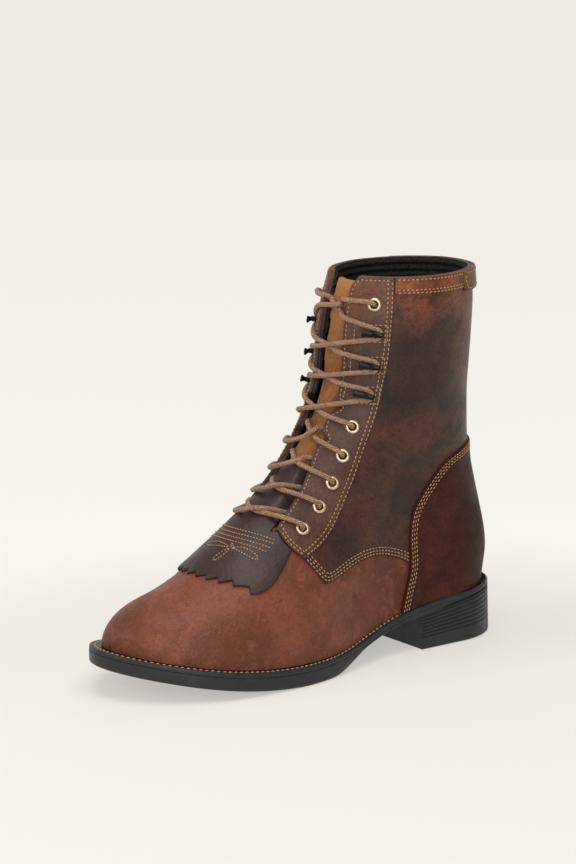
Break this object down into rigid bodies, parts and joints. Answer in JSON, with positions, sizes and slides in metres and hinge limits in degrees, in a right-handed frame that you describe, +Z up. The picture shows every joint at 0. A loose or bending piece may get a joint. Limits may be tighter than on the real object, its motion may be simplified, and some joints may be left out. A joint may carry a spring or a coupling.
{
  "type": "lacer boot",
  "caption": "Left lace-up ankle boot of oiled leather with a fringed kiltie, speed hooks, low block heel and rubber sole, hollow to the toe.",
  "frame": {"origin": "on the floor, under the middle of the heel block", "axes": "+X to the toe, +Y to the outer side of this left boot, +Z up"},
  "size_m": [0.306, 0.108, 0.252],
  "materials": {
    "vamp_leather": "oiled full-grain leather, reddish brown, soft mottling",
    "shaft_leather": "oiled leather, dark brown with reddish pull-up",
    "facing_leather": "oiled leather, dark brown",
    "counter_leather": "oiled leather, dark red-brown",
    "kiltie_leather": "oiled leather, very dark brown, stitched in tan",
    "tongue_suede": "suede, tan",
    "patch_leather": "smooth leather, tan",
    "lining": "woven lining, black",
    "sole_rubber": "moulded rubber, black, matt",
    "welt_rubber": "welt strip, black, satin",
    "insole_board": "insole leather, matt",
    "eyelet_brass": "pale brass, satin",
    "hook_enamel": "black enamel",
    "lace_cord": "braided round cord, brown flecked with tan",
    "stitch_thread": "waxed thread, tan"
  },
  "bodies": {
    "root": {"outsole": "sole_rubber", "welt": "welt_rubber", "heel": "sole_rubber", "insole": "insole_board", "upper": "vamp_leather", "counter": "counter_leather", "collar_band": "shaft_leather", "back_patch": "patch_leather", "tongue": "tongue_suede", "kiltie": "kiltie_leather", "eyestay_lateral": "facing_leather", "eyelet_lateral_1": "eyelet_brass", "eyelet_lateral_2": "eyelet_brass", "eyelet_lateral_3": "eyelet_brass", "eyelet_lateral_4": "eyelet_brass", "eyelet_lateral_5": "eyelet_brass", "hook_lateral_6": "hook_enamel", "hook_lateral_7": "hook_enamel", "hook_lateral_8": "hook_enamel", "eyelet_lateral_9": "eyelet_brass", "lace_end_lateral": "lace_cord", "eyestay_medial": "facing_leather", "eyelet_medial_1": "eyelet_brass", "eyelet_medial_2": "eyelet_brass", "eyelet_medial_3": "eyelet_brass", "eyelet_medial_4": "eyelet_brass", "eyelet_medial_5": "eyelet_brass", "hook_medial_6": "hook_enamel", "hook_medial_7": "hook_enamel", "hook_medial_8": "hook_enamel", "eyelet_medial_9": "eyelet_brass", "lace_end_medial": "lace_cord", "lace_crossing_1": "lace_cord", "lace_crossing_2": "lace_cord", "lace_crossing_3": "lace_cord", "lace_crossing_4": "lace_cord", "lace_crossing_5": "lace_cord", "lace_crossing_6": "lace_cord", "lace_crossing_7": "lace_cord", "lace_crossing_8": "lace_cord"}
  },
  "joints": []
}
